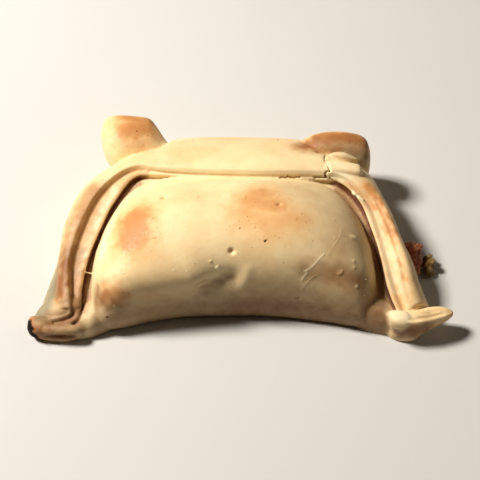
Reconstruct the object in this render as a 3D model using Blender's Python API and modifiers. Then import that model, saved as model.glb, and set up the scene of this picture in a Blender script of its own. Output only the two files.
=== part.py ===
"""A baked empanada with both ends and the back edge folded over, and two bits of leaked filling.

The pastry is one piece of dough, so it is one solid: a filled pocket, the fold that runs
round its two ends and its back, the two ears where the folds cross, and the two front feet.
X runs along the empanada, Y from its smooth front edge to its folded back, and Z is up.
"""

import math

import bmesh
import bpy
import numpy as np
from mathutils import Vector

MM = 0.001

# The middle of the underside, in the frame that the sizes below are given in
MIDDLE = Vector((-0.023, 11.217, 0.0)) * MM

# Filled pocket, in plan a trapezoid with a hollow front edge, its sides tucked in towards the front
POCKET_SHIFT = -2.5 * MM
POCKET_HALF_FRONT = 66.5 * MM
POCKET_HALF_BACK = 42.0 * MM
POCKET_SIDE_BULGE = 3.0 * MM
POCKET_TUCK = 7.0 * MM
POCKET_FRONT = -33.0 * MM
POCKET_LEFT_REACH = 13.5 * MM
POCKET_RIGHT_REACH = 11.0 * MM
POCKET_BACK = 54.0 * MM
POCKET_CENTRE = -4.0 * MM
POCKET_CREST = 42.0 * MM
POCKET_RIM = 7.5 * MM
POCKET_SINK = 4.0 * MM
PLAN_SQUARENESS = 9.0
# Fullness towards each side: how late the height falls, and how steeply
FRONT_FULLNESS = (2.6, 2.2)
SIDE_FULLNESS = (3.2, 2.1)
BACK_FULLNESS = (1.5, 1.1)

# The fold, station by station from the left foot round the back to the right foot, in mm:
# x, y and height of its inner lip, then ledge width, run of the step up to the outer layer,
# ridge width, shoulder height, flank, reach under the pocket and height of the step
FOLD_STATIONS = (
    (-88.0, -42.0, 6.8, 1.5, 0.9, 3.5, 6.5, 1.0, 1.0, 1.2),
    (-80.0, -42.2, 8.2, 2.0, 0.9, 4.5, 7.5, 1.0, 1.0, 1.6),
    (-73.6, -41.4, 9.5, 2.6, 0.9, 6.0, 8.5, 2.0, 1.5, 2.0),
    (-70.2, -38.8, 10.6, 3.2, 0.9, 6.5, 10.0, 7.0, 2.5, 2.4),
    (-69.4, -34.0, 12.2, 3.6, 0.9, 6.5, 11.6, 9.8, 6.0, 2.4),
    (-69.4, -26.0, 14.5, 4.8, 0.9, 6.5, 14.0, 7.5, 8.0, 2.4),
    (-67.5, -13.5, 18.0, 7.0, 0.9, 7.0, 16.0, 3.8, 8.0, 2.4),
    (-62.5, 3.0, 22.0, 8.0, 0.9, 10.5, 18.0, 3.4, 8.0, 2.4),
    (-56.0, 17.0, 26.0, 7.0, 0.9, 13.5, 19.0, 2.2, 8.0, 2.4),
    (-47.5, 26.0, 30.0, 3.0, 1.2, 16.0, 20.0, 1.0, 8.0, 2.4),
    (-34.0, 25.0, 31.5, 0.5, 3.0, 32.4, 20.0, 1.0, 8.0, 2.4),
    (0.0, 22.5, 32.5, 0.5, 3.2, 36.2, 20.0, 1.0, 8.0, 2.4),
    (36.0, 23.0, 31.5, 0.5, 3.0, 32.8, 20.0, 1.0, 8.0, 2.4),
    (46.5, 21.5, 30.0, 1.5, 1.2, 20.0, 20.0, 1.5, 8.0, 2.0),
    (55.0, 12.0, 27.0, 3.5, 1.2, 10.5, 20.0, 1.5, 8.0, 1.4),
    (59.5, -1.0, 23.0, 4.5, 1.2, 8.5, 17.5, 1.6, 8.0, 1.0),
    (62.5, -15.0, 20.0, 5.0, 1.2, 10.0, 14.0, 1.8, 8.0, 0.9),
    (65.0, -27.0, 16.0, 5.0, 1.2, 10.8, 10.5, 2.2, 8.0, 0.9),
    (68.5, -37.0, 12.5, 4.0, 1.2, 11.5, 8.0, 2.6, 4.0, 0.9),
    (70.0, -40.0, 11.0, 4.0, 1.2, 8.0, 7.0, 2.5, 2.0, 0.9),
)
# The crevice inside the lip is this deep, or this share of a low lip's height
CREVICE = 4.2 * MM
CREVICE_SHARE = 0.26

# Lobes of dough, slice by slice along X, in mm: x, middle y, half depth, underside and top
LEFT_EAR = (
    (-67.0, 60.0, 3.0, 15.0, 23.0),
    (-65.8, 59.5, 7.5, 11.0, 28.0),
    (-63.0, 57.0, 11.0, 8.0, 31.0),
    (-57.0, 55.0, 13.5, 7.0, 32.5),
    (-50.0, 54.5, 14.0, 7.0, 32.0),
    (-44.0, 54.5, 13.8, 7.0, 30.5),
    (-40.5, 52.0, 12.5, 7.5, 28.5),
    (-37.0, 48.5, 10.0, 8.0, 26.0),
    (-33.0, 45.0, 8.0, 9.0, 23.5),
)
RIGHT_EAR = (
    (26.0, 44.0, 6.0, 12.0, 24.0),
    (31.0, 46.0, 8.0, 9.0, 29.0),
    (38.0, 46.5, 8.5, 7.0, 32.5),
    (47.0, 46.5, 8.5, 7.0, 33.5),
    (55.0, 46.0, 8.5, 7.0, 32.5),
    (59.5, 45.5, 7.5, 8.0, 30.0),
    (61.5, 45.0, 5.0, 10.0, 25.0),
)
RIGHT_SLAB = (
    (39.0, 29.0, 3.4, 20.0, 33.2),
    (40.0, 29.0, 3.9, 20.0, 33.9),
    (47.0, 28.7, 3.9, 20.0, 33.9),
    (54.0, 28.2, 3.9, 18.0, 33.0),
    (55.8, 28.2, 3.0, 18.0, 31.6),
)
RIGHT_LENS = (
    (40.5, 37.0, 1.0, 20.0, 32.0),
    (44.0, 36.6, 2.2, 20.0, 33.4),
    (49.0, 36.0, 2.4, 20.0, 33.6),
    (54.5, 34.8, 1.0, 18.0, 31.6),
)
LEFT_HEEL = (
    (-91.0, -34.5, 2.5, -2.0, 3.5),
    (-88.0, -33.5, 5.0, -2.0, 7.0),
    (-82.0, -32.5, 7.0, -2.0, 10.5),
    (-76.0, -32.0, 7.0, -2.0, 13.0),
    (-70.0, -32.0, 5.0, -2.0, 13.0),
)
LEFT_WEB = (
    (-80.0, -38.5, 4.0, -8.0, 4.5),
    (-75.0, -37.5, 7.0, -8.0, 7.5),
    (-69.0, -35.5, 8.6, -8.0, 10.0),
    (-62.0, -33.6, 8.4, -8.0, 12.0),
    (-55.0, -31.6, 6.6, -8.0, 13.0),
    (-49.0, -30.2, 5.2, -8.0, 12.5),
    (-44.0, -29.0, 3.0, -8.0, 10.0),
)
LEFT_TIP = (
    (-93.0, -39.5, 2.5, 3.5, 7.0),
    (-91.5, -40.0, 4.0, 1.0, 9.0),
    (-88.0, -40.5, 4.6, 0.0, 9.5),
    (-82.0, -40.5, 4.0, 0.0, 8.5),
)
RIGHT_FOOT = (
    (64.5, -39.0, 1.5, 9.0, 12.0),
    (66.0, -39.6, 3.4, 4.0, 13.5),
    (70.0, -40.6, 4.4, -1.0, 14.0),
    (75.0, -40.6, 4.4, -2.0, 14.0),
    (80.0, -39.2, 4.6, 1.5, 13.6),
    (85.0, -38.0, 4.2, 5.0, 13.2),
    (89.5, -37.4, 3.2, 7.5, 12.6),
    (93.0, -37.0, 1.2, 9.3, 11.3),
)
RIGHT_WEB = (
    (40.0, -29.0, 3.0, -8.0, 9.0),
    (45.0, -30.2, 4.8, -8.0, 12.0),
    (51.0, -31.6, 6.0, -8.0, 13.5),
    (57.0, -33.0, 7.0, -8.0, 13.5),
    (64.0, -34.6, 7.2, -8.0, 12.0),
    (70.0, -36.5, 6.4, -8.0, 9.5),
    (75.0, -38.0, 4.4, -8.0, 6.0),
)
RIGHT_KNOB = (
    (63.9, -40.2, 1.2, 11.0, 13.2),
    (65.0, -40.6, 3.4, 8.6, 15.0),
    (68.0, -41.2, 4.0, 8.0, 15.6),
    (71.5, -41.5, 3.8, 8.6, 15.2),
    (74.0, -41.6, 2.2, 10.4, 14.0),
)
RIGHT_HEEL = (
    (64.0, -38.5, 2.5, -2.0, 5.0),
    (67.0, -40.0, 4.0, -2.0, 7.0),
    (71.0, -40.5, 4.8, -2.0, 8.0),
    (76.0, -40.3, 4.8, -2.0, 7.5),
    (80.0, -39.0, 3.0, -2.0, 4.0),
)
LOBE_SQUARENESS = 2.5

# The left end of the front edge, curled back on itself like a hairpin, in mm
CURL_PATH = (
    (-90.0, -41.5, 5.6),
    (-84.0, -43.0, 6.8),
    (-77.0, -43.7, 7.4),
    (-72.6, -43.6, 7.2),
    (-70.6, -43.6, 5.2),
    (-72.6, -43.9, 3.3),
    (-77.5, -44.2, 2.6),
    (-84.0, -43.6, 2.8),
    (-90.0, -41.7, 3.4),
)
CURL_RADIUS = 2.1 * MM

# The right foot's raised front lip, in mm
LIP_PATH = (
    (70.0, -43.6, 14.0),
    (75.0, -44.0, 13.6),
    (80.0, -42.9, 13.2),
    (85.0, -41.5, 12.9),
    (89.0, -39.8, 12.3),
    (92.5, -37.4, 10.8),
)
LIP_RADIUS = 0.8 * MM

# Holes pricked in the top before baking, in mm
PRICKS = (
    (-33.5, 5.3, 38.3),
    (17.4, -1.2, 40.6),
    (-3.0, -21.6, 35.8),
    (-39.2, -32.5, 15.7),
    (25.7, -31.4, 15.5),
)
PRICK_RADIUS = 1.4 * MM
PRICK_DEPTH = 1.5 * MM

# Filling that leaked from the right end, as balls in mm: x, y, z and radius
LEAKED_BEEF = (
    (79.5, -8.5, 3.2, 3.4),
    (79.5, -4.0, 4.6, 4.3),
    (79.1, 1.0, 5.2, 4.6),
    (80.0, 4.2, 3.0, 3.2),
    (81.3, 0.6, 8.4, 2.4),
    (80.0, -1.2, 9.6, 2.0),
)
LEAKED_CRUMB = (
    (86.9, -5.6, 2.6, 2.7),
    (87.0, -8.6, 2.0, 2.3),
    (86.8, -2.4, 2.4, 2.4),
    (87.8, -5.4, 5.2, 1.9),
    (87.4, -2.0, 4.8, 1.6),
)
CLEARANCE = 0.45 * MM

VOXEL = 0.6 * MM
PASTRY_TRIANGLES = 10500
FILLING_VOXEL = 0.3 * MM
FILLING_TRIANGLES = 700


def clear_scene():
    for obj in list(bpy.data.objects):
        bpy.data.objects.remove(obj, do_unlink=True)


def new_collection(name):
    collection = bpy.data.collections.new(name)
    bpy.context.scene.collection.children.link(collection)
    return collection


def new_object(name, mesh, collection):
    obj = bpy.data.objects.new(name, mesh)
    collection.objects.link(obj)
    return obj


def from_bmesh(name, mesh, collection):
    data = bpy.data.meshes.new(name)
    mesh.to_mesh(data)
    mesh.free()
    return new_object(name, data, collection)


def baked(obj):
    """The mesh of the object as its modifiers leave it."""
    bpy.context.view_layer.update()
    return bpy.data.meshes.new_from_object(obj.evaluated_get(bpy.context.evaluated_depsgraph_get()))


def spline(keys, count):
    """Points of a Catmull-Rom curve through the rows of keys, count for each span."""
    keys = np.asarray(keys, float)
    padded = np.vstack([2 * keys[0] - keys[1], keys, 2 * keys[-1] - keys[-2]])
    t = np.linspace(0, 1, count, endpoint=False)[:, None]
    rows = []
    for before, start, end, after in zip(padded, padded[1:], padded[2:], padded[3:]):
        a = 2 * start
        b = end - before
        c = 2 * before - 5 * start + 4 * end - after
        d = 3 * start - before - 3 * end + after
        rows.append(0.5 * (a + b * t + c * t**2 + d * t**3))
    return np.vstack(rows + [keys[-1:]])


def loft(name, rings, collection):
    """A closed skin through rings of equally many points, with a cap at each end."""
    mesh = bmesh.new()
    rows = [[mesh.verts.new(p) for p in ring] for ring in rings]
    for near, far in zip(rows, rows[1:]):
        for i in range(len(near)):
            j = (i + 1) % len(near)
            mesh.faces.new((near[i], near[j], far[j], far[i]))
    mesh.faces.new(rows[0][::-1])
    mesh.faces.new(rows[-1])
    bmesh.ops.recalc_face_normals(mesh, faces=mesh.faces)
    return from_bmesh(name, mesh, collection)


def fullness(share, exponents):
    """The height left at this share of the way from the crest to an edge."""
    late, steep = exponents
    return max(1 - abs(share) ** late, 0.0) ** (1 / steep)


def pocket(collection):
    """The filled middle: a sphere opened out to the trapezoid, full at the front and sides."""
    mesh = bmesh.new()
    bmesh.ops.create_uvsphere(mesh, u_segments=120, v_segments=60, radius=1)
    for v in mesh.verts:
        reach = min(math.hypot(v.co.x, v.co.y), 1.0) ** 0.8
        bearing = math.atan2(v.co.y, v.co.x)
        ex, ey = math.cos(bearing), math.sin(bearing)
        square = (abs(ex) ** PLAN_SQUARENESS + abs(ey) ** PLAN_SQUARENESS) ** (1 / PLAN_SQUARENESS)
        s, t = reach * ex / square, reach * ey / square
        if t < 0:
            edge = POCKET_FRONT - (POCKET_LEFT_REACH if s < 0 else POCKET_RIGHT_REACH) * abs(s) ** 3
        else:
            edge = POCKET_BACK
        y = POCKET_CENTRE + abs(t) * (edge - POCKET_CENTRE)
        half = POCKET_HALF_FRONT + (POCKET_HALF_BACK - POCKET_HALF_FRONT) * ((t + 1) / 2) ** 2.2
        half += POCKET_SIDE_BULGE * (1 - t * t) - POCKET_TUCK * max(-t - 0.1, 0.0)
        rounding = math.sqrt(1 - reach**14)
        if v.co.z > 0:
            swell = fullness(s, SIDE_FULLNESS) * fullness(t, FRONT_FULLNESS if t < 0 else BACK_FULLNESS)
            z = POCKET_RIM + (POCKET_CREST - POCKET_RIM) * rounding * swell
        else:
            z = POCKET_RIM - (POCKET_RIM + POCKET_SINK) * rounding
        v.co = Vector((POCKET_SHIFT + s * half, y, z))
    return from_bmesh("pocket", mesh, collection)


def fold_ring(lip, ledge, run, ridge, shoulder, flank, toe, step):
    """The fold's section as (distance outwards from the lip, height) pairs, lip to floor."""
    width = ledge + ridge
    top = lip + step
    start = ledge + run + 0.3 * MM
    crevice = min(CREVICE, CREVICE_SHARE * lip)
    side = [
        (-toe, -POCKET_SINK),
        (-toe, lip - 1.35 * crevice),
        (-0.3 * toe, lip - crevice),
        (0.3 * MM, lip - 0.85 * crevice),
        (0.5 * MM, lip - 0.6 * crevice),
        (0.1 * MM, lip - 0.3 * crevice),
        (0.3 * MM, lip - 0.4 * MM),
        (1.3 * MM, lip),
        (0.3 * MM + 0.55 * ledge, lip - 0.4 * MM),
        (0.3 * MM + 0.85 * ledge, lip - 0.5 * MM),
        (0.3 * MM + ledge + 0.3 * run, lip + 0.5 * step),
        (start, top - 0.1 * MM),
    ]
    for share in (0.3, 0.55, 0.78, 0.93):
        side.append((start + share * (width - start), top + (shoulder - top) * share**2.2))
    side += [
        (width + 0.5 * MM + 0.1 * flank, 0.8 * shoulder),
        (width + 0.5 * MM + 0.55 * flank, 0.45 * shoulder),
        (width + flank, 0.2 * shoulder),
        (width + flank - 1.0 * MM, 0.0),
        (width + flank - 5.0 * MM, -POCKET_SINK),
    ]
    return side


def folds(collection):
    """The turned-over border, one loft from foot to foot."""
    run = spline(FOLD_STATIONS, 10) * MM
    tangent = np.gradient(run[:, :2], axis=0)
    tangent /= np.linalg.norm(tangent, axis=1)[:, None]
    rings = []
    for station, (tx, ty) in zip(run, tangent):
        x, y, *sizes = station
        section = spline(fold_ring(*sizes), 3)
        rings.append([(x - ty * d, y + tx * d, z) for d, z in section])
    return loft("folds", rings, collection)


def lobe(name, slices, collection):
    """A rounded lobe of dough through upright slices, each an oval a little squared."""
    rings = []
    for x, middle, depth, under, top in spline(slices, 4) * MM:
        ring = []
        for turn in np.linspace(0, 2 * math.pi, 40, endpoint=False):
            across = math.copysign(abs(math.cos(turn)) ** (2 / LOBE_SQUARENESS), math.cos(turn))
            up = math.copysign(abs(math.sin(turn)) ** (2 / LOBE_SQUARENESS), math.sin(turn))
            ring.append((x, middle + depth * across, (under + top) / 2 + (top - under) / 2 * up))
        rings.append(ring)
    return loft(name, rings, collection)


def rope(name, path, radius, collection):
    """A round roll of dough along a path of points in mm."""
    curve = bpy.data.curves.new(name, "CURVE")
    curve.dimensions = "3D"
    curve.bevel_depth = radius
    curve.bevel_resolution = 4
    curve.use_fill_caps = True
    line = curve.splines.new("POLY")
    points = spline(path, 5) * MM
    line.points.add(len(points) - 1)
    for point, place in zip(line.points, points):
        point.co = (*place, 1)
    guide = new_object(name, curve, collection)
    data = baked(guide)
    bpy.data.objects.remove(guide)
    return new_object(name, data, collection)


def ball(name, x, y, z, radius, collection):
    mesh = bmesh.new()
    bmesh.ops.create_icosphere(mesh, subdivisions=3, radius=radius)
    bmesh.ops.translate(mesh, verts=mesh.verts, vec=(x, y, z))
    return from_bmesh(name, mesh, collection)


def fuse(name, shapes, voxel, softening, collection):
    """Joins overlapping closed shapes into one skin, their seams softened."""
    mesh = bmesh.new()
    for obj in shapes:
        mesh.from_mesh(obj.data)
        bpy.data.objects.remove(obj)
    rough = from_bmesh(name, mesh, collection)
    remesh = rough.modifiers.new("fuse", "REMESH")
    remesh.mode = "VOXEL"
    remesh.voxel_size = voxel
    smooth = rough.modifiers.new("soften", "SMOOTH")
    smooth.factor = 0.5
    smooth.iterations = softening
    fused = new_object(name, baked(rough), collection)
    bpy.data.objects.remove(rough)
    fused.name = name
    return fused


def prick(skin):
    """Sinks the prick holes into the skin, each with a small raised rim."""
    data = skin.data
    points = np.empty(len(data.vertices) * 3)
    data.vertices.foreach_get("co", points)
    points = points.reshape(-1, 3)
    normals = np.array([v.normal for v in data.vertices])
    shift = np.zeros(len(points))
    for hole in np.array(PRICKS) * MM:
        apart = np.linalg.norm(points - hole, axis=1)
        away = np.linalg.norm(points - points[apart.argmin()], axis=1) / PRICK_RADIUS
        shift += 0.15 * MM * np.exp(-((away - 1.6) ** 2) / 0.3) - PRICK_DEPTH * np.exp(-(away**2))
    points += normals * shift[:, None]
    data.vertices.foreach_set("co", points.ravel())


def thin_out(skin, triangles):
    """Leaves about this many triangles, fewest where the skin is flattest."""
    data = skin.data
    data.calc_loop_triangles()
    decimate = skin.modifiers.new("thin", "DECIMATE")
    decimate.ratio = triangles / len(data.loop_triangles)
    decimate.use_collapse_triangulate = True


def cut(obj, name, cutter):
    boolean = obj.modifiers.new(name, "BOOLEAN")
    boolean.operation = "DIFFERENCE"
    boolean.solver = "EXACT"
    boolean.object = cutter


def finish(obj, material, collection):
    """Fixes the shape, moves it to the middle of the underside and gives it its material."""
    name = obj.name
    data = baked(obj)
    bpy.data.objects.remove(obj)
    for v in data.vertices:
        v.co -= MIDDLE
    done = new_object(name, data, collection)
    data.name = name
    data.materials.clear()
    data.materials.append(material)
    data.shade_smooth()
    return done


def surface(name, colour, roughness):
    material = bpy.data.materials.new(name)
    material.use_nodes = True
    shader = material.node_tree.nodes["Principled BSDF"]
    shader.inputs["Base Color"].default_value = (*colour, 1)
    shader.inputs["Roughness"].default_value = roughness
    shader.inputs["Metallic"].default_value = 0.0
    return material


def main():
    clear_scene()
    parts = new_collection("empanada")
    helpers = new_collection("helpers")
    helpers.hide_render = True

    mesh = bmesh.new()
    bmesh.ops.create_cube(mesh, size=1)
    bmesh.ops.scale(mesh, verts=mesh.verts, vec=(0.4, 0.4, 0.05))
    bmesh.ops.translate(mesh, verts=mesh.verts, vec=(0, 0, -0.025))
    floor = from_bmesh("floor", mesh, helpers)
    floor.hide_render = True
    floor.display_type = "WIRE"

    shapes = [
        pocket(helpers),
        folds(helpers),
        lobe("left_ear", LEFT_EAR, helpers),
        lobe("right_ear", RIGHT_EAR, helpers),
        lobe("right_slab", RIGHT_SLAB, helpers),
        lobe("right_lens", RIGHT_LENS, helpers),
        lobe("left_heel", LEFT_HEEL, helpers),
        lobe("left_web", LEFT_WEB, helpers),
        lobe("left_tip", LEFT_TIP, helpers),
        lobe("right_foot", RIGHT_FOOT, helpers),
        lobe("right_web", RIGHT_WEB, helpers),
        lobe("right_knob", RIGHT_KNOB, helpers),
        lobe("right_heel", RIGHT_HEEL, helpers),
        rope("left_curl", CURL_PATH, CURL_RADIUS, helpers),
        rope("right_lip", LIP_PATH, LIP_RADIUS, helpers),
    ]
    pastry = fuse("pastry", shapes, VOXEL, 8, helpers)
    prick(pastry)
    thin_out(pastry, PASTRY_TRIANGLES)

    around = new_object("around", baked(pastry), helpers)
    around.hide_render = True
    around.display_type = "WIRE"
    for v in around.data.vertices:
        v.co += v.normal * CLEARANCE
    cut(pastry, "floor", floor)
    finish(pastry, surface("pastry", (0.78, 0.56, 0.30), 0.62), parts)

    for name, balls, colour in (
        ("leaked_beef", LEAKED_BEEF, (0.085, 0.018, 0.010)),
        ("leaked_crumb", LEAKED_CRUMB, (0.115, 0.075, 0.022)),
    ):
        shapes = [ball(name, *(size * MM for size in row), helpers) for row in balls]
        filling = fuse(name, shapes, FILLING_VOXEL, 3, helpers)
        thin_out(filling, FILLING_TRIANGLES)
        cut(filling, "floor", floor)
        cut(filling, "pastry", around)
        finish(filling, surface(name, colour, 0.5), parts)


main()
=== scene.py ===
"""A baked beef and cheese empanada: its fine surface, its finishes, the floor, the light and the camera.

Sizes are in millimetres in the frame that the dough is shaped in: X along the empanada, Y from
its smooth front edge to its folded back, Z up. Every mesh is moved to the row's frame at the end.
"""

import logging
import math
from dataclasses import dataclass, field
from enum import Enum
from typing import Any, Sequence

import bmesh
import bpy
import numpy as np
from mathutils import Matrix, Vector


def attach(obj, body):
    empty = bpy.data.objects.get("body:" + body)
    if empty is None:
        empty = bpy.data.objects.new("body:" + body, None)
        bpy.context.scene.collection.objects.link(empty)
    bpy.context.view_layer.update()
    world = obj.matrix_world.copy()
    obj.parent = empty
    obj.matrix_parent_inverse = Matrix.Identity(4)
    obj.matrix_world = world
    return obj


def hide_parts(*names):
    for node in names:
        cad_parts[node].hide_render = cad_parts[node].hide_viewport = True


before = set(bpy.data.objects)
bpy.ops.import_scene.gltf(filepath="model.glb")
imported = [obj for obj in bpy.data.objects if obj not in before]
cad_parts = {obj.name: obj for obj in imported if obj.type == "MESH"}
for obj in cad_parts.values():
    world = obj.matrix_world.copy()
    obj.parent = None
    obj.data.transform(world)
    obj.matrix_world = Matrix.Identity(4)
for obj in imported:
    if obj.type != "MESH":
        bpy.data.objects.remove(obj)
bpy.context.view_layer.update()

LOG = logging.getLogger("empanada")
MM = 0.001
MIDDLE = np.array((-0.023, 11.217, 0.0))
Row = tuple[float, ...]
Colour = tuple[float, float, float]
Socket = bpy.types.NodeSocket
Object = bpy.types.Object


class Relief(Enum):
    """How a stroke changes the surface that it runs over."""

    GROOVE = "groove"
    RIDGE = "ridge"
    CRACK = "crack"
    PRICK = "prick"


class Tone(Enum):
    """What a patch of crust has become, or the painted shade and highlight laid on it; the value names its
    mesh attribute.
    """

    BROWNED = "browned"
    # Juice stain and painted shade in the crevice.
    CREVICE_STAIN_SHADE = "stained"
    # Char, and painted shade in pricks and cracks.
    CHAR_AND_SHADE = "burnt"
    CUT = "cut"
    # Painted shade.
    PAINTED_HEEL_SHADE = "grey"
    # Painted shade.
    PAINTED_SHADE = "tanned"
    # Flour, and painted highlights.
    PALE = "floured"


def spline(keys: Sequence[Row], count: int) -> np.ndarray:
    """Points of a Catmull-Rom curve.

    Args:
        keys: The rows that the curve passes through.
        count: Points for each span.

    Returns:
        One row for each point.
    """
    rows = np.asarray(keys, float)
    padded = np.vstack([2 * rows[0] - rows[1], rows, 2 * rows[-1] - rows[-2]])
    t = np.linspace(0, 1, count, endpoint=False)[:, None]
    out = []
    for before, start, end, after in zip(padded, padded[1:], padded[2:], padded[3:]):
        b = end - before
        c = 2 * before - 5 * start + 4 * end - after
        d = 3 * start - before - 3 * end + after
        out.append(0.5 * (2 * start + b * t + c * t**2 + d * t**3))
    return np.vstack(out + [rows[-1:]])


def ripple(points: np.ndarray, wavelength: float, seed: int, waves: int = 9) -> np.ndarray:
    """A smooth uneven value about 0 at each point, from crossing waves.

    Args:
        points: One row for each point, in mm.
        wavelength: The usual distance between two crests, in mm.
        seed: Which unevenness.
        waves: How many waves cross.

    Returns:
        One value for each point, mostly between -1 and 1.
    """
    chance = np.random.default_rng(seed)
    total = np.zeros(len(points))
    for _ in range(waves):
        way = chance.normal(size=3)
        way *= 2 * math.pi / wavelength * chance.uniform(0.7, 1.6) / np.linalg.norm(way)
        total += np.sin(points @ way + chance.uniform(0, 2 * math.pi))
    return total / math.sqrt(waves)


def path_distance(points: np.ndarray, path: Sequence[Row], reach: float) -> np.ndarray:
    """How far each point is from a line through the path's points.

    Args:
        points: One row for each point, in mm.
        path: The corners of the line, in mm; one corner is a spot.
        reach: Points farther than this are given infinity.

    Returns:
        One distance for each point, in mm.
    """
    line = np.asarray(path, float)
    near = np.all((points > line.min(0) - reach) & (points < line.max(0) + reach), axis=1)
    part = points[near]
    best = np.full(len(part), np.inf)
    for start, end in zip(line, line[1:] if len(line) > 1 else line):
        along = end - start
        length = max(float(along @ along), 1e-9)
        share = np.clip((part - start) @ along / length, 0, 1)[:, None]
        best = np.minimum(best, np.linalg.norm(part - start - share * along, axis=1))
    found = np.full(len(points), np.inf)
    found[near] = best
    return found


def mesh_points(mesh: bpy.types.Mesh) -> np.ndarray:
    """The vertices' places, one row each."""
    flat = np.empty(len(mesh.vertices) * 3, np.float32)
    mesh.vertices.foreach_get("co", flat)
    return flat.reshape(-1, 3).astype(float)


def mesh_normals(mesh: bpy.types.Mesh) -> np.ndarray:
    """The vertices' normals, one row each."""
    flat = np.empty(len(mesh.vertices) * 3, np.float32)
    mesh.vertex_normals.foreach_get("vector", flat)
    return flat.reshape(-1, 3).astype(float)


def set_points(mesh: bpy.types.Mesh, points: np.ndarray) -> None:
    """Moves the vertices to these places."""
    mesh.vertices.foreach_set("co", points.astype(np.float32).ravel())
    mesh.update()


def new_object(name: str, mesh: Any) -> Object:
    """An object of this mesh or curve, in the scene."""
    made = bpy.data.objects.new(name, mesh)
    bpy.context.scene.collection.objects.link(made)
    return made


def from_bmesh(name: str, shape: bmesh.types.BMesh) -> Object:
    """An object of this shape, which is then freed."""
    mesh = bpy.data.meshes.new(name)
    shape.to_mesh(mesh)
    shape.free()
    return new_object(name, mesh)


def baked(obj: Object) -> bpy.types.Mesh:
    """The mesh of the object as its modifiers leave it."""
    bpy.context.view_layer.update()
    graph = bpy.context.evaluated_depsgraph_get()
    return bpy.data.meshes.new_from_object(obj.evaluated_get(graph))


def rebaked(obj: Object) -> Object:
    """The object with its modifiers turned into plain mesh."""
    mesh = baked(obj)
    obj.modifiers.clear()
    old = obj.data
    obj.data = mesh
    bpy.data.meshes.remove(old)
    return obj


def loft(name: str, rings: Sequence[Sequence[Row]]) -> Object:
    """A closed skin through rings of equally many points.

    Args:
        name: The object's name.
        rings: Each ring's points, in mm.

    Returns:
        The new object, with a cap at each end.
    """
    shape = bmesh.new()
    rows = [[shape.verts.new(point) for point in ring] for ring in rings]
    for near, far in zip(rows, rows[1:]):
        for i in range(len(near)):
            j = (i + 1) % len(near)
            shape.faces.new((near[i], near[j], far[j], far[i]))
    shape.faces.new(rows[0][::-1])
    shape.faces.new(rows[-1])
    bmesh.ops.recalc_face_normals(shape, faces=shape.faces)
    return from_bmesh(name, shape)


def soften(obj: Object, times: int) -> Object:
    """The object, its skin smoothed this many times."""
    smooth = obj.modifiers.new("soften", "SMOOTH")
    smooth.factor = 0.5
    smooth.iterations = times
    return rebaked(obj)


def fuse(name: str, shapes: Sequence[Object], voxel: float, softening: int) -> Object:
    """Joins overlapping closed shapes into one skin with softened seams.

    Away from the seams the softened skin is laid back on the shapes, which keeps long shallow
    slopes even.

    Args:
        name: The object's name.
        shapes: The shapes, which are used up.
        voxel: The size of the skin's cells, in mm.
        softening: How many times the skin is smoothed.

    Returns:
        The new object.
    """
    joined = bmesh.new()
    for obj in shapes:
        joined.from_mesh(obj.data)
        bpy.data.objects.remove(obj)
    forms = from_bmesh(name + "_forms", joined)
    skin = new_object(name, forms.data.copy())
    remesh = skin.modifiers.new("fuse", "REMESH")
    remesh.mode = "VOXEL"
    remesh.voxel_size = voxel
    rebaked(skin)
    soften(skin, softening)
    soft = mesh_points(skin.data)
    lay = skin.modifiers.new("lay", "SHRINKWRAP")
    lay.target = forms
    laid = mesh_points(baked(skin))
    skin.modifiers.clear()
    share = np.clip((0.7 - np.linalg.norm(laid - soft, axis=1) / voxel) / 0.4, 0, 1)[:, None]
    set_points(skin.data, soft + share * (laid - soft))
    bpy.data.objects.remove(forms)
    return soften(skin, 3)


def thin_out(obj: Object, triangles: int) -> None:
    """Leaves about this many triangles, fewest where the skin is flattest."""
    obj.data.calc_loop_triangles()
    thin = obj.modifiers.new("thin", "DECIMATE")
    thin.ratio = min(1.0, triangles / len(obj.data.loop_triangles))
    rebaked(obj)


def cut_at_floor(obj: Object) -> None:
    """Takes off what is below the floor and closes the underside flat."""
    shape = bmesh.new()
    shape.from_mesh(obj.data)
    everything = shape.verts[:] + shape.edges[:] + shape.faces[:]
    bmesh.ops.bisect_plane(shape, geom=everything, plane_co=(0, 0, 0), plane_no=(0, 0, 1), clear_inner=True)
    rim = [edge for edge in shape.edges if edge.is_boundary]
    bmesh.ops.triangle_fill(shape, use_beauty=True, edges=rim, normal=(0, 0, -1))
    bmesh.ops.recalc_face_normals(shape, faces=shape.faces)
    shape.to_mesh(obj.data)
    shape.free()


def to_row_frame(obj: Object) -> None:
    """Moves the mesh from the shaping frame, in mm, to the row's frame, in metres."""
    set_points(obj.data, (mesh_points(obj.data) - MIDDLE) * MM)


def sphere_form(power: float, turn: float) -> tuple[float, float]:
    """The cosine and sine of a turn round a squared oval."""
    return tuple(math.copysign(abs(w) ** (2 / power), w) for w in (math.cos(turn), math.sin(turn)))


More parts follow.
